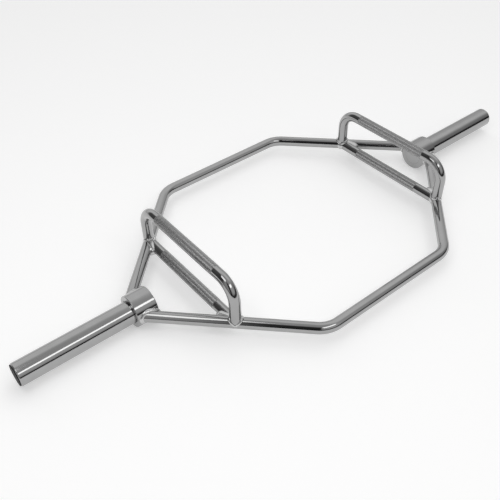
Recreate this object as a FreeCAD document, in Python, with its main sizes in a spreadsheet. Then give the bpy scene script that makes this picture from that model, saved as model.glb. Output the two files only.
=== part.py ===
# Hex trap bar: a welded hexagon of round bar with low and raised handles, and a plate sleeve on each side.
# X runs along the sleeves, Y from the front to the rear, Z up. The origin is on the floor under the middle,
# so the collars touch z = 0 and the frame lies level at the height of their axis. Lengths are in millimetres.
import FreeCAD, Part
import math
import os
import Sketcher
from FreeCAD import Placement, Rotation, Vector

SIZES = {
    # hexagon frame, two bars with two bends each, measured along their centre lines
    "bar_dia": 25.4,
    "bar_bend_radius": 60,
    "hex_side_length": 356,
    "hex_depth": 589,
    # handles, a low one in the frame's plane and a raised one above it on each side
    "grip_dia": 25,
    "grip_spacing": 620,
    "grip_bend_radius": 45,
    "raised_height": 100,
    # collars that the arms are welded to and the plates stop against, with a relief round the sleeve's root
    "collar_spacing": 822,
    "collar_dia": 72,
    "collar_length": 49,
    "collar_chamfer": 1.5,
    "relief_width": 1.5,
    "relief_depth": 1,
    # disc that closes each collar's inner end
    "disc_thickness": 6,
    "disc_chamfer": 0.6,
    # plate sleeves: tube with a turned-down spigot that sits in the collar
    "sleeve_dia": 50,
    "sleeve_wall": 5,
    "sleeve_length": 250,
    "sleeve_chamfer": 2,
    "spigot_dia": 46,
    "spigot_length": 36,
    "spigot_clearance": 0.05,
    # push-in plugs that close the sleeve ends
    "plug_head": 1.8,
    "plug_head_chamfer": 0.8,
    "plug_stem_length": 22,
    "plug_stem_wall": 2.5,
    "plug_rib_height": 1.2,
    "plug_rib_pitch": 6,
    "plug_rib_width": 2,
    "plug_clearance": 0.05,
    # weld beads: leg at the collars, fillet radius at the handles, and leg of the ring inside the collar
    "arm_weld": 5,
    "handle_weld": 4.5,
    "sleeve_weld": 3,
    "seam_tolerance": 0.001,
}
# how far into the collar, as a share of its radius, an arm reaches before it is coped
ARM_REACH_SHARE = 0.5
# how far the rods of a welded joint run from it, as a share of the bar's diameter
JOINT_REACH_SHARE = 4
# where along an edge it is tested for being a seam
SEAM_SHARES = (0.25, 0.5, 0.75)
# degrees by which the closing lines of the arm's, the low handle's and the leg's walls are turned, in the
# order tried: a line that crosses a fillet in a bad place spoils the bead
WALL_TURNS = ((270, 180, 90), (90, 180, 0), (135, 180, 45), (0, 0, 0))
PLUG_RIBS = 3

# Places worked out from the sizes, seen from the frame's centre at the height of the sleeve axis.
PLACES = {
    "axis_height": "Sizes.collar_dia / 2",
    "bar_r": "Sizes.bar_dia / 2",
    "grip_r": "Sizes.grip_dia / 2",
    "collar_r": "Sizes.collar_dia / 2",
    "sleeve_r": "Sizes.sleeve_dia / 2",
    "bore_r": "sleeve_r - Sizes.sleeve_wall",
    "spigot_r": "Sizes.spigot_dia / 2",
    "socket_r": "spigot_r + Sizes.spigot_clearance",
    "collar_in": "Sizes.collar_spacing / 2",
    "collar_mid": "collar_in + Sizes.collar_length / 2",
    "collar_out": "collar_in + Sizes.collar_length",
    "relief_r": "sleeve_r + Sizes.relief_width",
    "shoulder": "collar_out - Sizes.relief_depth",
    "spigot_end": "collar_out - Sizes.spigot_length",
    "sleeve_end": "collar_out + Sizes.sleeve_length",
    "corner_x": "Sizes.hex_side_length / 2",
    "side_y": "Sizes.hex_depth / 2",
    "arm_slope": "(side_y - collar_r) / (collar_mid - corner_x)",
    "arm_end_y": f"collar_r * {ARM_REACH_SHARE}",
    "arm_end_x": "collar_mid + (collar_r - arm_end_y) / arm_slope",
    "grip_x": "Sizes.grip_spacing / 2",
    "grip_y": "side_y - (grip_x - corner_x) * arm_slope",
    "plug_head_r": "sleeve_r - Sizes.sleeve_chamfer",
    "plug_end": "sleeve_end + Sizes.plug_head",
    "plug_rib_r": "bore_r - Sizes.plug_clearance",
    "plug_stem_r": "plug_rib_r - Sizes.plug_rib_height",
    "plug_hollow_r": "plug_stem_r - Sizes.plug_stem_wall",
    "plug_stem_end": "sleeve_end - Sizes.plug_stem_length",
}

doc = FreeCAD.newDocument("hex_trap_bar")
pieces = []


def fill_sheet(name, cells):
    """A sheet with one named cell in each row."""
    sheet = doc.addObject("Spreadsheet::Sheet", name)
    for row, (alias, content) in enumerate(cells.items(), start=1):
        sheet.set(f"A{row}", alias)
        sheet.set(f"B{row}", content)
        sheet.setAlias(f"B{row}", alias)
    doc.recompute()
    return sheet


fill_sheet("Sizes", {alias: str(size) for alias, size in SIZES.items()})
places = fill_sheet("Places", {alias: "=" + formula for alias, formula in PLACES.items()})


def number(expression):
    return float(places.evalExpression(expression))


def origin_plane(body, role):
    return next(plane for plane in body.Origin.OriginFeatures if plane.Role == role)


def new_body(label, turn=0):
    """A body whose own X axis is the sleeve axis. A half turn about Z makes it the opposite side's."""
    body = doc.addObject("PartDesign::Body", label)
    body.Label = label
    body.Placement = Placement(Vector(), Rotation(Vector(0, 0, 1), turn))
    body.setExpression(".Placement.Base.z", "Places.axis_height")
    return body


def new_sketch(body, name, role):
    sketch = body.newObject("Sketcher::SketchObject", name)
    sketch.AttachmentSupport = [(origin_plane(body, role), "")]
    sketch.MapMode = "FlatFace"
    return sketch


def bind(sketch, constraint, expression):
    row = sketch.addConstraint(constraint)
    sketch.setExpression(f"Constraints[{row}]", expression)


def pin(sketch, geometry, end, across, up):
    """Ties a point of a sketch to two expressions, or to an axis where the expression is 0."""
    for kind, axis, expression in (("DistanceX", -2, across), ("DistanceY", -1, up)):
        if expression == "0":
            sketch.addConstraint(Sketcher.Constraint("PointOnObject", geometry, end, axis))
        else:
            value = number(expression)
            bind(sketch, Sketcher.Constraint(kind, -1, 1, geometry, end, value), expression)


def polygon(sketch, corners):
    """A closed outline through corners given as pairs of expressions."""
    points = [Vector(number(across), number(up), 0) for across, up in corners]
    count = len(points)
    for n in range(count):
        sketch.addGeometry(Part.LineSegment(points[n], points[(n + 1) % count]), False)
    for n in range(count):
        sketch.addConstraint(Sketcher.Constraint("Coincident", n, 2, (n + 1) % count, 1))
        pin(sketch, n, 1, *corners[n])


def circle(sketch, across, up, radius):
    centre = Vector(number(across), number(up), 0)
    row = sketch.addGeometry(Part.Circle(centre, Vector(0, 0, 1), number(radius)), False)
    pin(sketch, row, 3, across, up)
    bind(sketch, Sketcher.Constraint("Radius", row, number(radius)), radius)


def bent_path(sketch, start, corner, end, radius):
    """Two straight runs joined by a tangent arc, from start past the sharp corner to end."""
    first, turn, last = (Vector(number(x), number(y), 0) for x, y in (start, corner, end))
    back = (first - turn).normalize()
    on = (last - turn).normalize()
    half = back.getAngle(on) / 2
    bend = number(radius)
    centre = turn + (back + on).normalize() * (bend / math.sin(half))
    before = turn + back * (bend / math.tan(half))
    after = turn + on * (bend / math.tan(half))
    middle = centre + (turn - centre).normalize() * bend
    sketch.addGeometry(Part.LineSegment(first, before), False)
    sketch.addGeometry(Part.Arc(before, middle, after), False)
    sketch.addGeometry(Part.LineSegment(after, last), False)
    sketch.addGeometry(Part.Point(turn), True)
    into, out = sorted((1, 2), key=lambda end: sketch.getPoint(1, end).distanceToPoint(before))
    sketch.addConstraint(Sketcher.Constraint("Tangent", 0, 2, 1, into))
    sketch.addConstraint(Sketcher.Constraint("Tangent", 1, out, 2, 1))
    sketch.addConstraint(Sketcher.Constraint("Horizontal", 0))
    bind(sketch, Sketcher.Constraint("Radius", 1, bend), radius)
    pin(sketch, 0, 1, *start)
    pin(sketch, 2, 2, *end)
    bind(sketch, Sketcher.Constraint("DistanceX", -1, 1, 3, 1, turn.x), corner[0])
    sketch.addConstraint(Sketcher.Constraint("PointOnObject", 3, 1, 0))
    sketch.addConstraint(Sketcher.Constraint("PointOnObject", 3, 1, 2))


def sweep(body, name, section, path):
    pipe = body.newObject("PartDesign::AdditivePipe", name)
    pipe.Profile = section
    pipe.Spine = path
    return pipe


def mirror_on(body, name, originals, role):
    """Completes a half-made body by mirroring its features on one of its own planes."""
    mirrored = body.newObject("PartDesign::Mirrored", name)
    mirrored.Originals = originals
    mirrored.MirrorPlane = (origin_plane(body, role), [""])
    body.Tip = mirrored


def cut_away(label, blank, tools):
    """A piece whose ends are coped to the pieces that it is welded to."""
    cutters = doc.addObject("Part::MultiFuse", label + "_cope")
    cutters.Shapes = tools
    piece = doc.addObject("Part::Cut", label)
    piece.Base = blank
    piece.Tool = cutters
    piece.Label = label
    pieces.append(piece)
    return piece


def turned(label, corners, turn):
    """A ring or tube turned about the sleeve axis, from its outline in places along the axis and radii."""
    body = new_body(label, turn)
    sketch = new_sketch(body, label + "_outline", "XY_Plane")
    polygon(sketch, corners)
    revolution = body.newObject("PartDesign::Revolution", label + "_turning")
    revolution.Profile = sketch
    revolution.ReferenceAxis = (sketch, ["H_Axis"])
    revolution.Angle = 360
    pieces.append(body)


def frame_bar(label, turn):
    """Half of the hexagon: one bar with two bends, its ends coped to the collars."""
    body = new_body(label, turn)
    path = new_sketch(body, label + "_path", "XY_Plane")
    start = ("0", "Places.side_y")
    corner = ("Places.corner_x", "Places.side_y")
    end = ("Places.arm_end_x", "Places.arm_end_y")
    bent_path(path, start, corner, end, "Sizes.bar_bend_radius")
    section = new_sketch(body, label + "_section", "YZ_Plane")
    circle(section, "Places.side_y", "0", "Places.bar_r")
    bar = sweep(body, label + "_bar", section, path)
    seat = new_sketch(body, label + "_seat", "XY_Plane")
    inner = "Places.collar_in - Sizes.bar_dia"
    outer = "Places.collar_out + Sizes.bar_dia"
    polygon(seat, [(inner, "0"), (outer, "0"), (outer, "Places.collar_r"), (inner, "Places.collar_r")])
    cope = body.newObject("PartDesign::Groove", label + "_cope")
    cope.Profile = seat
    cope.ReferenceAxis = (seat, ["H_Axis"])
    cope.Angle = 360
    mirror_on(body, label + "_mirror", [bar, cope], "YZ_Plane")
    pieces.append(body)
    return body


def low_handle(side, turn, frame):
    """Straight bar between the arms, in the frame's plane."""
    blank = new_body(side + "_low_handle_blank", turn)
    section = new_sketch(blank, side + "_low_handle_section", "XZ_Plane")
    circle(section, "Places.grip_x", "0", "Places.grip_r")
    bar = blank.newObject("PartDesign::Pad", side + "_low_handle_bar")
    bar.Profile = section
    bar.SideType = "Symmetric"
    bar.setExpression("Length", "2 * Places.grip_y")
    return cut_away(side + "_low_handle", blank, frame)


def raised_handle(side, turn, frame, low):
    """Bar bent into a U. Its legs stand on the arms, over the ends of the low handle."""
    label = side + "_raised_handle"
    blank = new_body(label + "_blank", turn)
    path = new_sketch(blank, label + "_path", "YZ_Plane")
    path.setExpression(".AttachmentOffset.Base.z", "Places.grip_x")
    start = ("0", "Sizes.raised_height")
    corner = ("Places.grip_y", "Sizes.raised_height")
    bent_path(path, start, corner, ("Places.grip_y", "0"), "Sizes.grip_bend_radius")
    section = new_sketch(blank, label + "_section", "XZ_Plane")
    circle(section, "Places.grip_x", "Sizes.raised_height", "Places.grip_r")
    bar = sweep(blank, label + "_bar", section, path)
    mirror_on(blank, label + "_mirror", [bar], "XZ_Plane")
    return cut_away(label, blank, frame + [low])


def collar(side, turn):
    """Thick ring with a relief round the sleeve's root, so that a plate lies flat on its outer face."""
    inner, outer, shoulder = "Places.collar_in", "Places.collar_out", "Places.shoulder"
    chamfer, rim = "Sizes.collar_chamfer", "Places.collar_r"
    turned(side + "_collar", [
        (inner, "Places.socket_r"),
        (shoulder, "Places.socket_r"),
        (shoulder, "Places.relief_r"),
        (outer, "Places.relief_r"),
        (outer, f"{rim} - {chamfer}"),
        (f"{outer} - {chamfer}", rim),
        (f"{inner} + {chamfer}", rim),
        (inner, f"{rim} - {chamfer}"),
    ], turn)


def closing_disc(side, turn):
    """Disc pressed into the collar's inner end, flush with its face."""
    face, back = "Places.collar_in", "Places.collar_in + Sizes.disc_thickness"
    chamfer, rim = "Sizes.disc_chamfer", "Places.spigot_r"
    turned(side + "_collar_disc", [
        (face, "0"),
        (back, "0"),
        (back, rim),
        (f"{face} + {chamfer}", rim),
        (face, f"{rim} - {chamfer}"),
    ], turn)


def sleeve(side, turn):
    """Tube that the plates slide on. Its shoulder seats on the collar, behind which its spigot starts."""
    end, chamfer, rim = "Places.sleeve_end", "Sizes.sleeve_chamfer", "Places.sleeve_r"
    turned(side + "_sleeve", [
        ("Places.spigot_end", "Places.bore_r"),
        (end, "Places.bore_r"),
        (end, f"{rim} - {chamfer}"),
        (f"{end} - {chamfer}", rim),
        ("Places.shoulder", rim),
        ("Places.shoulder", "Places.spigot_r"),
        ("Places.spigot_end", "Places.spigot_r"),
    ], turn)


def sleeve_weld(side, turn):
    """Ring of weld inside the collar, between its bore and the spigot's end."""
    end, leg = "Places.spigot_end", "Sizes.sleeve_weld"
    turned(side + "_sleeve_weld", [
        (end, f"Places.socket_r - {leg}"),
        (end, "Places.socket_r"),
        (f"{end} - {leg}", "Places.socket_r"),
    ], turn)


def end_plug(side, turn):
    """Push-in plug: a head that covers the tube's end and a hollow stem with barbed ribs."""
    mouth, end, head_r = "Places.sleeve_end", "Places.plug_end", "Places.plug_head_r"
    stem_r, chamfer = "Places.plug_stem_r", "Sizes.plug_head_chamfer"
    corners = [
        (mouth, "0"),
        (end, "0"),
        (end, f"{head_r} - {chamfer}"),
        (f"{end} - {chamfer}", head_r),
        (mouth, head_r),
        (mouth, stem_r),
    ]
    for rib in range(1, PLUG_RIBS + 1):
        outer = f"{mouth} - Sizes.plug_rib_pitch * {rib}"
        corners += [(outer, stem_r), (outer, "Places.plug_rib_r"), (f"{outer} - Sizes.plug_rib_width", stem_r)]
    corners += [
        ("Places.plug_stem_end", stem_r),
        ("Places.plug_stem_end", "Places.plug_hollow_r"),
        (mouth, "Places.plug_hollow_r"),
    ]
    turned(side + "_end_plug", corners, turn)


def rod(start, end, radius, turn=0):
    """A plain rod between two points of a joint, with what its wall is measured by."""
    along = (end - start).normalize()
    solid = Part.makeCylinder(radius, start.distanceToPoint(end), start, along)
    solid.rotate(start, along, turn)
    return solid, start, along, radius


def on_wall(point, start, along, radius):
    offset = point - start
    return abs((offset - along * offset.dot(along)).Length - radius) < number("Sizes.seam_tolerance")


def is_seam(edge, rods):
    """True for an edge that runs along the walls of two rods."""
    span = edge.LastParameter - edge.FirstParameter
    points = [edge.valueAt(edge.FirstParameter + span * share) for share in SEAM_SHARES]
    walls = [all(on_wall(point, *wall) for point in points) for _, *wall in rods]
    return sum(walls) > 1


def bead(rods, dress):
    """The weld between rods: what dressing the seams of the joined rods adds to them."""
    solids = [solid for solid, *_ in rods]
    metal = solids[0].fuse(solids[1:]).removeSplitter()
    seams = [edge for edge in metal.Edges if is_seam(edge, rods)]
    return max(dress(metal, seams).cut(solids).Solids, key=lambda solid: solid.Volume)


def joint_reach():
    return number("Sizes.bar_dia") * JOINT_REACH_SHARE


def arm_direction():
    return Vector(1, -number("Places.arm_slope"), 0).normalize()


def arm_weld():
    """Bead with even legs round the rear right arm where it meets the collar, seen from the collar's middle."""
    reach, along = joint_reach(), arm_direction()
    wall = Vector(reach, 0, 0)
    foot = Vector(0, number("Places.collar_r"), 0)
    end = Vector(number("Places.arm_end_x - Places.collar_mid"), number("Places.arm_end_y"), 0)
    arm = rod(foot - along * reach, end, number("Places.bar_r"))
    collar_rod = rod(-wall, wall, number("Places.collar_r"))
    leg = number("Sizes.arm_weld")
    return bead([arm, collar_rod], lambda metal, seams: metal.makeChamfer(leg, seams))


def turned_handle_weld(arm_turn, low_turn, leg_turn):
    reach, along, grip_r = joint_reach(), arm_direction(), number("Places.grip_r")
    arm = rod(-along * reach, along * reach, number("Places.bar_r"), arm_turn)
    low = rod(Vector(0, -reach, 0), Vector(), grip_r, low_turn)
    leg = rod(Vector(), Vector(0, 0, reach), grip_r, leg_turn)
    radius = number("Sizes.handle_weld")
    return bead([arm, low, leg], lambda metal, seams: metal.makeFillet(radius, seams))


def handle_weld():
    """Fillet where the low handle's rear end and the raised handle's leg meet the rear right arm."""
    for turns in WALL_TURNS:
        try:
            shape = turned_handle_weld(*turns)
        except (ValueError, Part.OCCError):
            continue
        if shape.isValid():
            return shape
    raise RuntimeError("no sound bead between the handles and the arm")


def at_corners(name, shape, place):
    """The rear right bead, set at its place, and its mirror images at the other three corners."""
    shape.translate(place)
    for side, across in (("right", 1), ("left", -1)):
        for end, along in (("rear", 1), ("front", -1)):
            copy = shape.copy()
            if across < 0:
                copy = copy.mirror(Vector(), Vector(1, 0, 0))
            if along < 0:
                copy = copy.mirror(Vector(), Vector(0, 1, 0))
            piece = doc.addObject("Part::Feature", f"{side}_{end}_{name}")
            piece.Label = f"{side}_{end}_{name}"
            piece.Shape = copy
            piece.setExpression(".Placement.Base.z", "Places.axis_height")
            pieces.append(piece)


frame_bars = [frame_bar("rear_frame_bar", 0), frame_bar("front_frame_bar", 180)]
for hand, half_turn in (("right", 0), ("left", 180)):
    raised_handle(hand, half_turn, frame_bars, low_handle(hand, half_turn, frame_bars))
    collar(hand, half_turn)
    closing_disc(hand, half_turn)
    sleeve(hand, half_turn)
    sleeve_weld(hand, half_turn)
    end_plug(hand, half_turn)
at_corners("arm_weld", arm_weld(), Vector(number("Places.collar_mid"), 0, 0))
at_corners("handle_weld", handle_weld(), Vector(number("Places.grip_x"), number("Places.grip_y"), 0))
doc.recompute()

for item in doc.Objects:
    if "Invalid" in item.State or "Error" in item.State:
        raise RuntimeError(f"{item.Label} failed: {item.State}")
for piece in pieces:
    if piece.Shape.isNull() or not piece.Shape.isValid() or len(piece.Shape.Solids) != 1:
        raise RuntimeError(f"{piece.Label} is not one valid solid")

os.makedirs("parts", exist_ok=True)
for piece in pieces:
    piece.Shape.exportStep(f"parts/{piece.Label}.step")
    print(piece.Label, round(piece.Shape.Volume), "mm3")
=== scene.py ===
import math
import random

import bmesh
import bpy
from mathutils import Matrix, Vector


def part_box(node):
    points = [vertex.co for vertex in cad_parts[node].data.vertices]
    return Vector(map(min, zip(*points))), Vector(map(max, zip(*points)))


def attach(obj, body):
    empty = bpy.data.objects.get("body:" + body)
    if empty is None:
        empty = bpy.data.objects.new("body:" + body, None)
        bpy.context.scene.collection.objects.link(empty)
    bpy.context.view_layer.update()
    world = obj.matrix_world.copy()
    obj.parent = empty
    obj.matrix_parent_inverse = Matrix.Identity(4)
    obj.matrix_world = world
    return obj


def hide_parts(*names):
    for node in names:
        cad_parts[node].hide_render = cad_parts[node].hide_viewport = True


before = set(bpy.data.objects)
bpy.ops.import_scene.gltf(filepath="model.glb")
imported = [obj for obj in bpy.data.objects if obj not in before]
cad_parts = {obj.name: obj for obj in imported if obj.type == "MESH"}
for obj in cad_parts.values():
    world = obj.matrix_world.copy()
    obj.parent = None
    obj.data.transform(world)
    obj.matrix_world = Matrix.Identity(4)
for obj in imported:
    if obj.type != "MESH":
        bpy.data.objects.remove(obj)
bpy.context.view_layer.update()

# Frame bars: two lengths of round steel bar, each bent twice in a press, that close into a hexagon.
# Their ends are coped to sit on the round collars. After welding the frame is polished and chrome plated.
MM = 0.001
RIGHT = Vector((1, 0, 0))
UP = Vector((0, 0, 1))
ENDS = (("rear", 1), ("front", -1))
BAR_FACETS = 72
BAR_STEP = 8 * MM
BEND_STEP = 2.5 * MM
CHROME_DARK, CHROME_LIGHT = "#a1a1a1", "#afafaf"
# Noise rarely leaves these limits, so a finish is spread between them.
NOISE_LOW, NOISE_HIGH = 0.3, 0.7
bar_r = 12.7 * MM
bar_bend_r = 60 * MM
bar_cope_run = 2.5 * bar_r
corner_x = 178 * MM
side_y = 294.5 * MM
collar_low, collar_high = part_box("right_collar")
collar_r = 36 * MM
collar_in, collar_out = collar_low.x, collar_high.x
collar_mid = (collar_in + collar_out) / 2
axis_z = collar_r
arm_slope = (side_y - collar_r) / (collar_mid - corner_x)


def straight(start, end):
    """Stations along a straight run, each a place and a heading, with both ends."""
    count = max(1, math.ceil((end - start).length / BAR_STEP))
    heading = (end - start).normalized()
    return [(start.lerp(end, n / count), heading) for n in range(count + 1)]


def bent_path(corners, radius):
    """Stations along straight runs that are joined by round bends."""
    stations = []
    start = corners[0]
    for before, corner, after in zip(corners, corners[1:], corners[2:]):
        heading = (corner - before).normalized()
        leaving = (after - corner).normalized()
        turn = heading.angle(leaving)
        axis = heading.cross(leaving).normalized()
        entry = corner - heading * (radius * math.tan(turn / 2))
        centre = entry + axis.cross(heading) * radius
        stations += straight(start, entry)
        count = math.ceil(turn * radius / BEND_STEP)
        for n in range(1, count + 1):
            spin = Matrix.Rotation(turn * n / count, 3, axis)
            stations.append((centre + spin @ (entry - centre), spin @ heading))
        start = stations.pop()[0]
    return stations + straight(start, corners[-1])


def spare_tips(stations, clear):
    """The two end stations, and those between them whose place is clear of the coped ends."""
    return stations[:1] + [station for station in stations[1:-1] if clear(station[0])] + stations[-1:]


def round_ring(station, across, radii):
    """Points round a bar at a station. across is the direction square to the plane of the bar's bends."""
    place, heading = station
    side = across.cross(heading).normalized()
    turns = [2 * math.pi * n / len(radii) for n in range(len(radii))]
    return [place + (side * math.cos(t) + across * math.sin(t)) * r for t, r in zip(turns, radii)]


def skin(name, rings, loop=False):
    """A closed mesh through rings of points. It is capped at both ends unless the rings run in a loop."""
    count = len(rings[0])
    points = [point for ring in rings for point in ring]
    faces = []
    for n in range(len(rings) if loop else len(rings) - 1):
        here, there = n * count, (n + 1) % len(rings) * count
        for k in range(count):
            j = (k + 1) % count
            faces.append((here + k, here + j, there + j, there + k))
    if not loop:
        for first, ring in ((0, rings[0]), (len(points) - count, rings[-1])):
            faces += [(first + (k + 1) % count, first + k, len(points)) for k in range(count)]
            points.append(sum(ring, Vector()) / count)
    mesh = bpy.data.meshes.new(name)
    mesh.from_pydata(points, [], faces)
    return mesh


def finish_mesh(mesh, materials, sharp=35):
    """A smooth-shaded object in the scene, with its faces turned outwards. An edge stays crisp where its two
    faces turn by more than sharp, in degrees."""
    work = bmesh.new()
    work.from_mesh(mesh)
    bmesh.ops.recalc_face_normals(work, faces=work.faces)
    work.to_mesh(mesh)
    work.free()
    for face in mesh.polygons:
        face.use_smooth = True
    mesh.set_sharp_from_angle(angle=math.radians(sharp))
    for material in materials:
        mesh.materials.append(material)
    piece = bpy.data.objects.new(mesh.name, mesh)
    bpy.context.scene.collection.objects.link(piece)
    return piece


def dress(piece, node):
    """Puts a piece in place of its CAD node."""
    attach(piece, "root")
    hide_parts(node)


def linear(code):
    """A hex sRGB colour as linear RGBA."""
    parts = [int(code[n:n + 2], 16) / 255 for n in (1, 3, 5)]
    return (*(p / 12.92 if p <= 0.04045 else ((p + 0.055) / 1.055) ** 2.4 for p in parts), 1)


def new_material(name):
    """A node material that is still empty, and its tree."""
    material = bpy.data.materials.new(name)
    material.use_nodes = True
    material.node_tree.nodes.clear()
    return material, material.node_tree


def add(tree, kind, settings=(), inputs=()):
    """Adds a node. settings are its properties. inputs are its sockets, by name, or by number where several
    share a name, and each gets a value or another node's output."""
    node = tree.nodes.new(kind)
    for key, value in dict(settings).items():
        setattr(node, key, value)
    for key, value in dict(inputs).items():
        if isinstance(value, bpy.types.NodeSocket):
            tree.links.new(value, node.inputs[key])
        else:
            node.inputs[key].default_value = value
    return node


def polished_chrome():
    """Bright chrome plate over linished steel bar: a grey mirror with long, faint waves left by the belt."""
    haze_size, wave_size, wave_height = 30 * MM, 9 * MM, 0.02 * MM
    smooth, rough = 0.05, 0.11
    material, tree = new_material("bright_chrome_plate")
    place = add(tree, "ShaderNodeTexCoord").outputs["Object"]
    haze = add(tree, "ShaderNodeTexNoise", inputs={"Vector": place, "Scale": 1 / haze_size, "Detail": 4})
    tone = add(tree, "ShaderNodeMix", {"data_type": "RGBA"}, {
        0: haze.outputs["Fac"], 6: linear(CHROME_DARK), 7: linear(CHROME_LIGHT)})
    polish = add(tree, "ShaderNodeMapRange", inputs={
        "Value": haze.outputs["Fac"], "From Min": NOISE_LOW, "From Max": NOISE_HIGH,
        "To Min": smooth, "To Max": rough})
    wave = add(tree, "ShaderNodeTexNoise", inputs={"Vector": place, "Scale": 1 / wave_size, "Detail": 1})
    bump = add(tree, "ShaderNodeBump", inputs={
        "Height": wave.outputs["Fac"], "Strength": 1, "Distance": wave_height})
    shader = add(tree, "ShaderNodeBsdfPrincipled", inputs={
        "Base Color": tone.outputs[2], "Metallic": 1,
        "Roughness": polish.outputs["Result"], "Normal": bump.outputs["Normal"]})
    add(tree, "ShaderNodeOutputMaterial", inputs={"Surface": shader.outputs["BSDF"]})
    return material


def onto_collar(point, heading):
    """Where a line along an arm meets a collar's wall."""
    height = point.z - axis_z
    reach = math.copysign(math.sqrt(collar_r ** 2 - height ** 2), point.y)
    return point + heading * ((reach - point.y) / heading.y)


bright_chrome = polished_chrome()
for end, face in ENDS:
    corners = [Vector((x, face * y, axis_z)) for x, y in (
        (-collar_mid, collar_r), (-corner_x, side_y), (corner_x, side_y), (collar_mid, collar_r))]
    tips = corners[0], corners[-1]
    stations = spare_tips(
        bent_path(corners, bar_bend_r),
        lambda place: min((place - tip).length for tip in tips) > bar_cope_run)
    rings = [round_ring(station, UP, [bar_r] * BAR_FACETS) for station in stations]
    for tip in (0, -1):
        rings[tip] = [onto_collar(point, stations[tip][1]) for point in rings[tip]]
    bar = finish_mesh(skin(f"{end}_hexagon_bar", rings), [bright_chrome])
    dress(bar, f"{end}_frame_bar")

# Collars: thick rings turned from steel, which the arms are welded to and the plates stop against. A shallow
# relief round the sleeve's root lets a plate lie flat. A pressed-in disc closes the inner end of each.
SIDES = (("left", -1), ("right", 1))
TURN_FACETS = 96
EASE_STEPS = 5
BESIDE_EASE = 1.3
relief_r, relief_depth = 26.5 * MM, 1 * MM
socket_r = 23.05 * MM
disc_r, disc_thickness = 23 * MM, 6 * MM
rim_ease, relief_ease, socket_ease, disc_ease = 1.5 * MM, 0.3 * MM, 0.15 * MM, 0.2 * MM


def eased(corners):
    """A closed outline of places along the axis and radii, with each corner rounded by its third value.
    A point beside each rounding keeps the flats flat in the mirror finish."""
    outline = []
    for n, (x, r, ease) in enumerate(corners):
        here = Vector((x, r))
        if not ease:
            outline.append(here)
            continue
        back = Vector(corners[n - 1][:2]) - here
        on = Vector(corners[(n + 1) % len(corners)][:2]) - here
        back_way, on_way = back.normalized(), on.normalized()
        half = back.angle(on) / 2
        reach = ease / math.tan(half)
        centre = here + (back_way + on_way).normalized() * (ease / math.sin(half))
        first, last = here + back_way * reach - centre, here + on_way * reach - centre
        if back.length > 2 * reach:
            outline.append(here + back_way * reach * BESIDE_EASE)
        for step in range(EASE_STEPS + 1):
            outline.append(centre + first.lerp(last, step / EASE_STEPS).normalized() * ease)
        if on.length > 2 * reach:
            outline.append(here + on_way * reach * BESIDE_EASE)
    return outline


def turned(name, corners, sign):
    """A closed ring or disc turned about the sleeve axis. sign is 1 on the right and -1 on the left.
    A disc's outline begins with its two points on the axis, which the caps stand in for."""
    turns = [2 * math.pi * n / TURN_FACETS for n in range(TURN_FACETS)]
    outline = [place for place in eased(corners) if place.y > 0]
    rings = [[Vector((sign * x, r * math.cos(t), axis_z + r * math.sin(t))) for t in turns]
             for x, r in outline]
    return skin(name, rings, loop=min(r for _, r, _ in corners) > 0)


def turned_chrome():
    """Chrome plate over turned and ground steel: a mirror with fine rings round the axis from the lathe.
    The real rings are too fine to show, so they are drawn coarser."""
    line_size, line_height, haze_size = 0.9 * MM, 0.004 * MM, 25 * MM
    smooth, rough = 0.06, 0.13
    material, tree = new_material("turned_chrome_plate")
    place = add(tree, "ShaderNodeTexCoord").outputs["Object"]
    axes = add(tree, "ShaderNodeSeparateXYZ", inputs={"Vector": place})
    height = add(tree, "ShaderNodeMath", {"operation": "SUBTRACT"}, {0: axes.outputs["Z"], 1: axis_z})
    spoke = add(tree, "ShaderNodeCombineXYZ", inputs={"Y": axes.outputs["Y"], "Z": height.outputs["Value"]})
    radius = add(tree, "ShaderNodeVectorMath", {"operation": "LENGTH"}, {0: spoke.outputs["Vector"]})
    lathe = add(tree, "ShaderNodeCombineXYZ", inputs={"X": axes.outputs["X"], "Y": radius.outputs["Value"]})
    lines = add(tree, "ShaderNodeTexNoise", inputs={
        "Vector": lathe.outputs["Vector"], "Scale": 1 / line_size, "Detail": 2})
    haze = add(tree, "ShaderNodeTexNoise", inputs={"Vector": place, "Scale": 1 / haze_size, "Detail": 4})
    tone = add(tree, "ShaderNodeMix", {"data_type": "RGBA"}, {
        0: haze.outputs["Fac"], 6: linear(CHROME_DARK), 7: linear(CHROME_LIGHT)})
    polish = add(tree, "ShaderNodeMapRange", inputs={
        "Value": lines.outputs["Fac"], "From Min": NOISE_LOW, "From Max": NOISE_HIGH,
        "To Min": smooth, "To Max": rough})
    bump = add(tree, "ShaderNodeBump", inputs={
        "Height": lines.outputs["Fac"], "Strength": 1, "Distance": line_height})
    shader = add(tree, "ShaderNodeBsdfPrincipled", inputs={
        "Base Color": tone.outputs[2], "Metallic": 1,
        "Roughness": polish.outputs["Result"], "Normal": bump.outputs["Normal"]})
    add(tree, "ShaderNodeOutputMaterial", inputs={"Surface": shader.outputs["BSDF"]})
    return material


lathe_chrome = turned_chrome()
for side, sign in SIDES:
    ring = turned(f"{side}_stop_collar", [
        (collar_in, socket_r, socket_ease),
        (collar_out - relief_depth, socket_r, 0),
        (collar_out - relief_depth, relief_r, 0),
        (collar_out, relief_r, relief_ease),
        (collar_out, collar_r, rim_ease),
        (collar_in, collar_r, rim_ease),
    ], sign)
    dress(finish_mesh(ring, [lathe_chrome]), f"{side}_collar")
    disc = turned(f"{side}_closing_disc", [
        (collar_in, 0, 0),
        (collar_in + disc_thickness, 0, 0),
        (collar_in + disc_thickness, disc_r, 0),
        (collar_in, disc_r, disc_ease),
    ], sign)
    dress(finish_mesh(disc, [lathe_chrome]), f"{side}_collar_disc")

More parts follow.
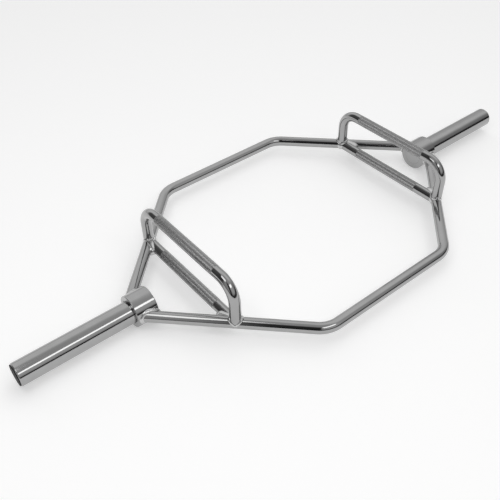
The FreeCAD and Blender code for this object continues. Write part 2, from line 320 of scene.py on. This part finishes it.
# Sleeves: 50 mm tubes that the plates slide on, with a turned-down spigot welded inside the collar. The weld
# is closed in by the disc, so it was never polished and stays bare.
sleeve_low, sleeve_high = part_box("right_sleeve")
spigot_end, sleeve_end = sleeve_low.x, sleeve_high.x
sleeve_r, bore_r, spigot_r = 25 * MM, 20 * MM, 23 * MM
mouth_ease, sleeve_ease, spigot_ease = 0.5 * MM, 2 * MM, 0.3 * MM


def bare_weld_steel():
    """Weld metal left as it cooled: dull grey steel with a brown tint and coarse grain."""
    grain_size = 1.5 * MM
    material, tree = new_material("bare_weld_steel")
    place = add(tree, "ShaderNodeTexCoord").outputs["Object"]
    grain = add(tree, "ShaderNodeTexNoise", inputs={"Vector": place, "Scale": 1 / grain_size, "Detail": 3})
    tone = add(tree, "ShaderNodeMix", {"data_type": "RGBA"}, {
        0: grain.outputs["Fac"], 6: linear("#5d5852"), 7: linear("#8b8883")})
    shader = add(tree, "ShaderNodeBsdfPrincipled", inputs={
        "Base Color": tone.outputs[2], "Metallic": 1, "Roughness": 0.5})
    add(tree, "ShaderNodeOutputMaterial", inputs={"Surface": shader.outputs["BSDF"]})
    return material


hidden_weld = bare_weld_steel()
for side, sign in SIDES:
    tube = turned(f"{side}_plate_sleeve", [
        (spigot_end, bore_r, 0),
        (sleeve_end, bore_r, mouth_ease),
        (sleeve_end, sleeve_r, sleeve_ease),
        (collar_out - relief_depth, sleeve_r, spigot_ease),
        (collar_out - relief_depth, spigot_r, 0),
        (spigot_end, spigot_r, spigot_ease),
    ], sign)
    dress(finish_mesh(tube, [lathe_chrome]), f"{side}_sleeve")
    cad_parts[f"{side}_sleeve_weld"].data.materials[0] = hidden_weld

# End plugs: black polyethylene mouldings pushed into the tubes. A flat head covers the tube's end, and a
# hollow stem with three barbed ribs grips the bore.
PLUG_RIBS = 3
plug_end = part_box("right_end_plug")[1].x
plug_r = 23 * MM
plug_stem_r, plug_rib_r, plug_hollow_r = 18.75 * MM, 19.95 * MM, 16.25 * MM
plug_stem, plug_rib_pitch, plug_rib_width = 22 * MM, 6 * MM, 2 * MM
head_ease, seat_ease, rib_ease, stem_ease = 0.8 * MM, 0.2 * MM, 0.2 * MM, 0.3 * MM


def moulded_polyethylene():
    """Black polyethylene from a spark-eroded mould: dull, with a fine even grain. The real grain is too fine
    to show, so it is drawn coarser."""
    grain_size, grain_height = 0.7 * MM, 0.03 * MM
    smooth, rough = 0.65, 0.8
    material, tree = new_material("black_polyethylene")
    place = add(tree, "ShaderNodeTexCoord").outputs["Object"]
    grain = add(tree, "ShaderNodeTexNoise", inputs={"Vector": place, "Scale": 1 / grain_size, "Detail": 2})
    tone = add(tree, "ShaderNodeMix", {"data_type": "RGBA"}, {
        0: grain.outputs["Fac"], 6: linear("#151516"), 7: linear("#232325")})
    gloss = add(tree, "ShaderNodeMapRange", inputs={
        "Value": grain.outputs["Fac"], "To Min": smooth, "To Max": rough})
    bump = add(tree, "ShaderNodeBump", inputs={
        "Height": grain.outputs["Fac"], "Strength": 1, "Distance": grain_height})
    shader = add(tree, "ShaderNodeBsdfPrincipled", inputs={
        "Base Color": tone.outputs[2], "IOR": 1.51,
        "Roughness": gloss.outputs["Result"], "Normal": bump.outputs["Normal"]})
    add(tree, "ShaderNodeOutputMaterial", inputs={"Surface": shader.outputs["BSDF"]})
    return material


plug_black = moulded_polyethylene()
for side, sign in SIDES:
    corners = [
        (sleeve_end, 0, 0),
        (plug_end, 0, 0),
        (plug_end, plug_r, head_ease),
        (sleeve_end, plug_r, seat_ease),
        (sleeve_end, plug_stem_r, 0),
    ]
    for rib in range(1, PLUG_RIBS + 1):
        rib_face = sleeve_end - rib * plug_rib_pitch
        corners += [
            (rib_face, plug_stem_r, 0),
            (rib_face, plug_rib_r, rib_ease),
            (rib_face - plug_rib_width, plug_stem_r, 0),
        ]
    corners += [
        (sleeve_end - plug_stem, plug_stem_r, stem_ease),
        (sleeve_end - plug_stem, plug_hollow_r, stem_ease),
        (sleeve_end, plug_hollow_r, 0),
    ]
    plug = turned(f"{side}_push_plug", corners, sign)
    dress(finish_mesh(plug, [plug_black]), f"{side}_end_plug")

# Handles: 25 mm bar with a diamond knurl rolled into the grip. The low one is coped between the arms. The
# raised one is bent into a U whose legs stand where the low handle meets the arms.
KNURL_STARTS = 48
KNURL_POINTS = 2 * KNURL_STARTS
ALONG_GRIP = 0.99
grip_r = 12.5 * MM
knurl_proud, knurl_depth = 0.1 * MM, 0.25 * MM
plain_r = grip_r - knurl_proud
grip_x = 310 * MM
grip_y = side_y - (grip_x - corner_x) * arm_slope
raised_z = axis_z + 100 * MM
grip_bend_r = 45 * MM
low_cope_run, foot_cope_run = 3 * grip_r, 1.5 * bar_r
low_knurl_half, raised_knurl_half = 99 * MM, 103 * MM
knurl_row = math.pi * grip_r / KNURL_STARTS


def arm_depth(height):
    """How far the arm's wall stands out along Y from its axis, at a height above or below the axis."""
    return math.sqrt(bar_r ** 2 - height ** 2) * math.hypot(1, arm_slope)


def onto_arm(point):
    """Where a line along a low handle meets the arm at its end."""
    across = abs(point.x) - grip_x
    y = grip_y - across * arm_slope - arm_depth(point.z - axis_z)
    return Vector((point.x, math.copysign(y, point.y), point.z))


def foot_height(point):
    """How high above the axis plane a leg's wall meets the arm or the low handle that it stands on."""
    across, along = abs(point.x) - grip_x, abs(point.y) - grip_y
    offset = (along + across * arm_slope) / math.hypot(1, arm_slope)
    on_arm = math.sqrt(max(bar_r ** 2 - offset ** 2, 0))
    on_low = math.sqrt(max(plain_r ** 2 - across ** 2, 0)) if along < 0 else 0
    return max(on_arm, on_low)


def onto_foot(point):
    """Where a line down a raised handle's leg meets what it stands on."""
    return Vector((point.x, point.y, axis_z + foot_height(point)))


def with_knurl(stations, half):
    """The stations with those of the grip replaced by closely set rows, each station with its row or None.
    The number of rows comes with them."""
    rows = 2 * round(half / knurl_row)
    on_grip = [n for n, (_, heading) in enumerate(stations) if heading.y > ALONG_GRIP]
    start = next(n for n in on_grip if stations[n][0].y > -half)
    stop = next(n for n in on_grip if stations[n][0].y > half)
    place, heading = stations[start]
    grip = [((Vector((place.x, (n - rows / 2) * knurl_row, place.z)), heading), n) for n in range(rows + 1)]
    plain = [(station, None) for station in stations]
    return plain[:start] + grip + plain[stop:], rows


def cut_knurl(mesh, start, stop):
    """Splits the knurl's faces along their grooves and marks them, with how deep each point lies, which the
    knurl's material uses to paint shade and polish into the grooves.
    start and stop number the first points of the knurl's first and last ring."""
    points = [vertex.co.copy() for vertex in mesh.vertices]
    faces, knurled, depths = [], [], [0.0] * len(points)
    for face in mesh.polygons:
        corners = list(face.vertices)
        if not (len(corners) == 4 and min(corners) >= start and max(corners) < stop + KNURL_POINTS):
            faces.append(corners)
            knurled.append(False)
            continue
        row, place = divmod(corners[0] - start, KNURL_POINTS)
        low_first = (row + place) % 2 == 0
        a, b, c, d = corners if low_first else corners[1:] + corners[:1]
        depths[a] = depths[c] = 1.0
        faces += [[a, b, c], [a, c, d]]
        knurled += [True, True]
    mesh.clear_geometry()
    mesh.from_pydata(points, [], faces)
    mesh.attributes.new("knurl", "BOOLEAN", "FACE").data.foreach_set("value", knurled)
    mesh.attributes.new("groove", "FLOAT", "POINT").data.foreach_set("value", depths)


def grip_mesh(name, stations, half, cope):
    """A handle with pyramids where its knurl is: on each row, high and low points take turns."""
    rowed, rows = with_knurl(stations, half)
    rings = []
    for station, row in rowed:
        radii = [plain_r] * KNURL_POINTS
        if row is not None and 0 < row < rows:
            radii = [grip_r if (row + k) % 2 else grip_r - knurl_depth for k in range(KNURL_POINTS)]
        rings.append(round_ring(station, RIGHT, radii))
    for tip in (0, -1):
        rings[tip] = [cope(point) for point in rings[tip]]
    mesh = skin(name, rings)
    first = next(n for n, (_, row) in enumerate(rowed) if row == 0)
    cut_knurl(mesh, first * KNURL_POINTS, (first + rows) * KNURL_POINTS)
    return mesh


def knurled_chrome_plate():
    """Chrome plate over a rolled diamond knurl: small mirror facets, with the grooves painted dark, partly as
    grey polish left in them and partly as painted shade.
    """
    grime_size = 4 * MM
    material, tree = new_material("knurled_chrome_plate")
    place = add(tree, "ShaderNodeTexCoord").outputs["Object"]
    groove = add(tree, "ShaderNodeAttribute", {"attribute_name": "groove"})
    grime = add(tree, "ShaderNodeTexNoise", inputs={"Vector": place, "Scale": 1 / grime_size, "Detail": 3})
    groove_polish_and_shade = add(tree, "ShaderNodeMath", {"operation": "MULTIPLY"}, {
        0: groove.outputs["Fac"], 1: grime.outputs["Fac"]})
    # The dark grey in the grooves is partly polish left in them and partly painted shade where the grooves
    # keep light out.
    tone = add(tree, "ShaderNodeMix", {"data_type": "RGBA"}, {
        0: groove_polish_and_shade.outputs["Value"], 6: linear("#b3b3b3"), 7: linear("#5d5d5d")})
    shader = add(tree, "ShaderNodeBsdfPrincipled", inputs={
        "Base Color": tone.outputs[2], "Metallic": 1, "Roughness": 0.2})
    add(tree, "ShaderNodeOutputMaterial", inputs={"Surface": shader.outputs["BSDF"]})
    return material


knurled_chrome = knurled_chrome_plate()


def finish_grip(mesh, node):
    """Gives the knurl flat facets and its own material, and the rest of the handle the bars' finish."""
    piece = finish_mesh(mesh, [knurled_chrome, bright_chrome])
    crisp = [mark.value for mark in mesh.attributes["knurl"].data]
    for face, flat in zip(mesh.polygons, crisp):
        face.use_smooth = not flat
        face.material_index = 0 if flat else 1
    dress(piece, node)


for side, sign in SIDES:
    x = sign * grip_x
    low_ends = [Vector((x, y, axis_z)) for y in (-grip_y, grip_y)]
    stations = spare_tips(straight(*low_ends), lambda place: abs(place.y) < grip_y - low_cope_run)
    low_grip = grip_mesh(f"{side}_low_grip", stations, low_knurl_half, onto_arm)
    finish_grip(low_grip, f"{side}_low_handle")
    corners = [Vector((x, y, z)) for y, z in (
        (-grip_y, axis_z), (-grip_y, raised_z), (grip_y, raised_z), (grip_y, axis_z))]
    stations = spare_tips(bent_path(corners, grip_bend_r), lambda place: place.z > axis_z + foot_cope_run)
    raised_grip = grip_mesh(f"{side}_raised_grip", stations, raised_knurl_half, onto_foot)
    finish_grip(raised_grip, f"{side}_raised_handle")

# Welds: beads laid by hand round each arm where it meets its collar, and at each handle's ends. They were
# ground only lightly before plating, so the steps of the weld pool still show as ripples.
BEAD_POINTS = 10
BEAD_SHARP = 60
RIPPLE_STEPS = 8
SEAM_POINTS = 720
SMOOTHED_OVER = (-2, -1, 0, 1, 2)
SWAY_TURNS = (2, 3, 4)
ARM_SEED, LEG_SEED, LOW_SEED = 2, 4, 8
arm_leg, foot_leg, low_leg = 3.4 * MM, 2.8 * MM, 5.5 * MM
corner_fill = 1.4
ripple_pitch, ripple_height, ripple_bow = 3.2 * MM, 0.16 * MM, 0.5
bead_crown, bead_sink, bead_root = 1.4 * MM, 0.3 * MM, 1.5 * MM
bead_sway = 0.05


def plated_weld_chrome():
    """Chrome plate over lightly ground weld metal, with a finely pitted skin that scatters glints. Its colour
    is painted lighter than the bars' chrome, as painted sheen for the highlights the weld catches.
    """
    pit_size, pit_height = 0.8 * MM, 0.03 * MM
    smooth, rough = 0.12, 0.28
    material, tree = new_material("plated_weld_chrome")
    place = add(tree, "ShaderNodeTexCoord").outputs["Object"]
    pits = add(tree, "ShaderNodeTexNoise", inputs={"Vector": place, "Scale": 1 / pit_size, "Detail": 3})
    # Lighter than the bars' chrome: partly painted sheen standing in for the highlights on the lumpy weld.
    tone = add(tree, "ShaderNodeMix", {"data_type": "RGBA"}, {
        0: pits.outputs["Fac"], 6: linear("#bcbcbc"), 7: linear("#dbdbdb")})
    polish = add(tree, "ShaderNodeMapRange", inputs={
        "Value": pits.outputs["Fac"], "From Min": NOISE_LOW, "From Max": NOISE_HIGH,
        "To Min": smooth, "To Max": rough})
    bump = add(tree, "ShaderNodeBump", inputs={
        "Height": pits.outputs["Fac"], "Strength": 1, "Distance": pit_height})
    shader = add(tree, "ShaderNodeBsdfPrincipled", inputs={
        "Base Color": tone.outputs[2], "Metallic": 1,
        "Roughness": polish.outputs["Result"], "Normal": bump.outputs["Normal"]})
    add(tree, "ShaderNodeOutputMaterial", inputs={"Surface": shader.outputs["BSDF"]})
    return material


def wall(start, along, radius):
    """A bar's wall: a function that gives the nearest place on it to a point, and the way out of it there."""
    axis = along.normalized()

    def nearest(point):
        offset = point - start
        foot = start + axis * offset.dot(axis)
        outward = (point - foot).normalized()
        return foot + outward * radius, outward
    return nearest


def wall_under_leg(corner, face, arm_wall, low_wall):
    """The wall that a raised leg stands on: the arm's, or the low handle's where that one lies higher."""
    def nearest(point):
        if (point.y - corner.y) * face > 0:
            return arm_wall(point)
        return max(arm_wall(point), low_wall(point), key=lambda place: place[0].z)
    return nearest


def evenly(points, loop):
    """A seam's points, set again at even steps that divide it into whole ripples."""
    track = points + points[:1] if loop else points
    reach = [0.0]
    for here, there in zip(track, track[1:]):
        reach.append(reach[-1] + (there - here).length)
    count = max(2, round(reach[-1] / ripple_pitch)) * RIPPLE_STEPS
    even, n = [], 0
    for step in range(count if loop else count + 1):
        wanted = reach[-1] * step / count
        while n < len(track) - 2 and reach[n + 1] < wanted:
            n += 1
        even.append(track[n].lerp(track[n + 1], (wanted - reach[n]) / (reach[n + 1] - reach[n])))
    return even


def bead(name, seam, walls, leg, loop, seed):
    """A rippled bead along a seam between two walls. Its edges run out into the walls, further where the
    corner is narrow, and its width sways a little."""
    points = evenly(seam, loop)
    count = len(points)
    chance = random.Random(seed)
    phases = [chance.uniform(0, 2 * math.pi) for _ in SWAY_TURNS]

    def within(n):
        """The number of a point, counted on round a loop, or held at the ends of a run."""
        return n % count if loop else min(max(n, 0), count - 1)

    edges = []
    for n, point in enumerate(points):
        along = (points[within(n + 1)] - points[within(n - 1)]).normalized()
        outward = [nearest(point)[1] for nearest in walls]
        sway = sum(
            math.sin(2 * math.pi * turns * n / count + phase) for turns, phase in zip(SWAY_TURNS, phases))
        swell = 1 + bead_sway * sway
        feet = []
        for nearest, mine, other in zip(walls, outward, reversed(outward)):
            way = along.cross(mine).normalized()
            way = way if way.dot(other) > 0 else -way
            fill = 1 + corner_fill * (1 - mine.dot(other)) / 2
            foot, normal = nearest(point + way * leg * swell * fill)
            feet.append(foot - normal * bead_sink)
        edges.append((*feet, sum(outward, Vector()).normalized()))
    rings = []
    for n, point in enumerate(points):
        near = [edges[within(n + k)] for k in SMOOTHED_OVER]
        low, high, out = (sum(parts, Vector()) / len(near) for parts in zip(*near))
        out.normalize()
        ring = [point - out * bead_root]
        for k in range(BEAD_POINTS + 1):
            share = k / BEAD_POINTS
            bow = 4 * share * (1 - share)
            ripple = abs(math.sin(math.pi * (n / RIPPLE_STEPS + ripple_bow * bow)))
            ring.append(low.lerp(high, share) + out * (bead_crown + ripple_height * ripple) * bow)
        rings.append(ring)
    return skin(name, rings, loop)


weld_chrome = plated_weld_chrome()
arm_round, leg_round = [bar_r] * SEAM_POINTS, [plain_r] * SEAM_POINTS
for side, sign in SIDES:
    for end, face in ENDS:
        heading = Vector((sign, -face * arm_slope, 0)).normalized()
        root = Vector((sign * collar_mid, face * collar_r, axis_z))
        corner = Vector((sign * grip_x, face * grip_y, axis_z))
        arm_wall = wall(root, heading, bar_r)
        collar_wall = wall(Vector((0, 0, axis_z)), RIGHT, collar_r)
        low_wall = wall(corner, Vector((0, 1, 0)), plain_r)
        leg_wall = wall(corner, UP, plain_r)
        leg_walls = leg_wall, wall_under_leg(corner, face, arm_wall, low_wall)

        seam = [onto_collar(point, heading) for point in round_ring((root, heading), UP, arm_round)]
        name = f"{side}_{end}_arm_bead"
        arm_bead = bead(name, seam, (arm_wall, collar_wall), arm_leg, True, sign + ARM_SEED * face)
        dress(finish_mesh(arm_bead, [weld_chrome], BEAD_SHARP), f"{side}_{end}_arm_weld")

        seam = [onto_foot(point) for point in round_ring((corner, UP), RIGHT, leg_round)]
        name = f"{side}_{end}_leg_bead"
        leg_bead = bead(name, seam, leg_walls, foot_leg, True, sign + LEG_SEED * face)
        dress(finish_mesh(leg_bead, [weld_chrome], BEAD_SHARP), f"{side}_{end}_handle_weld")

        # The leg covers the top of the low handle's seam, so that bead runs round the rest.
        seam = [onto_arm(point) for point in round_ring((corner, Vector((0, face, 0))), RIGHT, leg_round)]
        clear = [p.z < axis_z or math.hypot(p.x - corner.x, p.y - corner.y) > plain_r for p in seam]
        first = next(n for n in range(SEAM_POINTS) if clear[n] and not clear[n - 1])
        seam = [seam[(first + n) % SEAM_POINTS] for n in range(sum(clear))]
        name = f"{side}_{end}_low_bead"
        low_bead = bead(name, seam, (low_wall, arm_wall), low_leg, False, sign + LOW_SEED * face)
        dress(finish_mesh(low_bead, [weld_chrome], BEAD_SHARP), f"{side}_{end}_handle_weld")

# Floor, light and camera: a white paper sweep in a plain grey room. The chrome mirrors the room's walls,
# doorway and camera stand, and two softboxes draw the white lines along it. A fill overhead lights the paper,
# and the camera stands where the photo was taken from.
FLOOR_SPAN = 40
SWEEP_GLOW = 0.35
BACKDROP_TONE = 0.745
NEAR_WALL_TONE = 0.42
camera_place = Vector((-828.062, -881.716, 1039.572)) * MM
camera_yaw, camera_pitch, camera_roll = math.radians(37.847), math.radians(42.33), math.radians(1.514)
focal_pixels, photo_pixels = 660.344, 500


def white_sweep():
    """White paper sweep, lit evenly enough to look white where nothing shades it."""
    material, tree = new_material("white_paper_sweep")
    rays = add(tree, "ShaderNodeLightPath")
    seen = add(tree, "ShaderNodeMath", {"operation": "MAXIMUM"}, {
        0: rays.outputs["Is Camera Ray"], 1: rays.outputs["Is Glossy Ray"]})
    seen = add(tree, "ShaderNodeMath", {"operation": "MAXIMUM"}, {
        0: seen.outputs["Value"], 1: rays.outputs["Is Transmission Ray"]})
    glow = add(tree, "ShaderNodeMath", {"operation": "MULTIPLY"}, {0: seen.outputs["Value"], 1: SWEEP_GLOW})
    shader = add(tree, "ShaderNodeBsdfPrincipled", inputs={
        "Base Color": linear("#e8e8e8"), "Roughness": 0.9, "Specular IOR Level": 0.1,
        "Emission Color": (1, 1, 1, 1), "Emission Strength": glow.outputs["Value"]})
    add(tree, "ShaderNodeOutputMaterial", inputs={"Surface": shader.outputs["BSDF"]})
    return material


floor_mesh = bpy.data.meshes.new("floor")
floor_edge = FLOOR_SPAN / 2
floor_corners = [(x * floor_edge, y * floor_edge, 0) for x, y in ((-1, -1), (1, -1), (1, 1), (-1, 1))]
floor_mesh.from_pydata(floor_corners, [], [(0, 1, 2, 3)])
floor_mesh.materials.append(white_sweep())
floor = bpy.data.objects.new("floor", floor_mesh)
bpy.context.scene.collection.objects.link(floor)

FAR_WAY = Vector((0.37, 0.78, 0.5))
FRONT_WAY = Vector((0, -1, 0))
CEILING_WAY = Vector((-0.25, -0.15, 0.96))
DOOR_WAY = Vector((-0.62, 0.5, 0.6))
CAMERA_WAY = Vector((-0.656, -0.755, 0))
CAMERA_SIDE = Vector((0.755, -0.656, 0))
STRIP_WAY = Vector((0.1, -0.75, 0.65))
SKIRTING_DOWN = Vector((0.1, 0, -1))
# Each patch of the room has a name, a brightness, how much it covers the patches before it, and its limits. A
# limit is a direction, with the cosines of the angles to it at which the patch begins and is full.
PATCHES = (
    ("far wall", 0.9, 1, [(FAR_WAY, 0.15, 0.6)]),
    ("right wall's shade", 0, 0.25, [(RIGHT, 0.4, 0.75), (-UP, -0.74, -0.46)]),
    ("glow round the strip light", 1, 0.345, [(STRIP_WAY, 0.8, 0.97)]),
    ("shade low on the walls", 0, 0.25, [(-UP, -0.5, 0)]),
    ("ceiling", 0.5, 1, [(CEILING_WAY, 0.72, 0.93)]),
    ("skirting", 0, 0.9, [(FRONT_WAY, 0.2, 0.5), (SKIRTING_DOWN, -0.28, -0.12)]),
    ("doorway", 0, 0.88, [(DOOR_WAY, 0.76, 0.9)]),
    ("camera stand", 0, 0.93, [
        (CAMERA_WAY, 0.3, 0.62), (CAMERA_SIDE, -0.26, -0.1), (-CAMERA_SIDE, -0.26, -0.1)]),
)
world = bpy.data.worlds.new("grey_room")
bpy.context.scene.world = world
world.use_nodes = True
room = world.node_tree
room.nodes.clear()
way = add(room, "ShaderNodeTexCoord").outputs["Generated"]
walls = NEAR_WALL_TONE
for patch, brightness, cover, limits in PATCHES:
    for aim, outer, inner in limits:
        turned_to = add(room, "ShaderNodeVectorMath", {"operation": "DOT_PRODUCT"}, {0: way, 1: aim})
        edge = add(room, "ShaderNodeMapRange", {"interpolation_type": "SMOOTHSTEP"}, {
            "Value": turned_to.outputs["Value"], "From Min": outer, "From Max": inner,
            "To Min": 0, "To Max": cover})
        cover = edge.outputs["Result"]
    walls = add(room, "ShaderNodeMix", {"label": patch}, {0: cover, 2: walls, 3: brightness}).outputs[0]
# Past the sweep's far edge the camera sees a backdrop as bright as the paper. The chrome mirrors the room.
rays = add(room, "ShaderNodeLightPath")
backdrop = add(room, "ShaderNodeMix", {"label": "white backdrop"}, {
    0: rays.outputs["Is Camera Ray"], 2: walls, 3: BACKDROP_TONE})
background = add(room, "ShaderNodeBackground", inputs={"Color": backdrop.outputs[0]})
add(room, "ShaderNodeOutputWorld", inputs={"Surface": background.outputs["Background"]})


def softbox(name, place, aim, width, height, radiance):
    """A plain rectangular softbox turned to a point on the bar. radiance is how bright its front looks."""
    lamp = bpy.data.lights.new(name, "AREA")
    lamp.shape = "RECTANGLE"
    lamp.size, lamp.size_y = width, height
    lamp.energy = radiance * width * height * math.pi
    box = bpy.data.objects.new(name, lamp)
    box.location = place
    box.rotation_euler = (aim - place).to_track_quat("-Z", "Y").to_euler()
    bpy.context.scene.collection.objects.link(box)
    return box


softbox("strip_softbox", place=Vector((-0.1, -1.6, 1.85)), aim=Vector((-0.4, 0, axis_z)),
        width=1.3, height=0.5, radiance=2)
softbox("left_softbox", place=Vector((-0.87, -0.12, 1.5)), aim=Vector((-0.36, -0.11, axis_z)),
        width=0.7, height=0.6, radiance=1.6)
overhead_fill = softbox("overhead_fill", place=Vector((0, 0, 3)), aim=Vector((0, 0, 0)),
                        width=4, height=4, radiance=0.45)
overhead_fill.visible_glossy = False

camera = bpy.data.cameras.new("photo_camera")
camera.sensor_width = 36
camera.lens = focal_pixels / photo_pixels * camera.sensor_width
camera.clip_end = 100
viewer = bpy.data.objects.new("photo_camera", camera)
bpy.context.scene.collection.objects.link(viewer)
forward = Vector((
    math.sin(camera_yaw) * math.cos(camera_pitch),
    math.cos(camera_yaw) * math.cos(camera_pitch),
    -math.sin(camera_pitch)))
level_right = forward.cross(UP).normalized()
level_down = forward.cross(level_right)
right = level_right * math.cos(camera_roll) + level_down * math.sin(camera_roll)
down = level_down * math.cos(camera_roll) - level_right * math.sin(camera_roll)
facing = Matrix((right, -down, -forward)).transposed()
viewer.matrix_world = Matrix.Translation(camera_place) @ facing.to_4x4()
bpy.context.scene.camera = viewer
bpy.context.scene.view_settings.view_transform = "Standard"
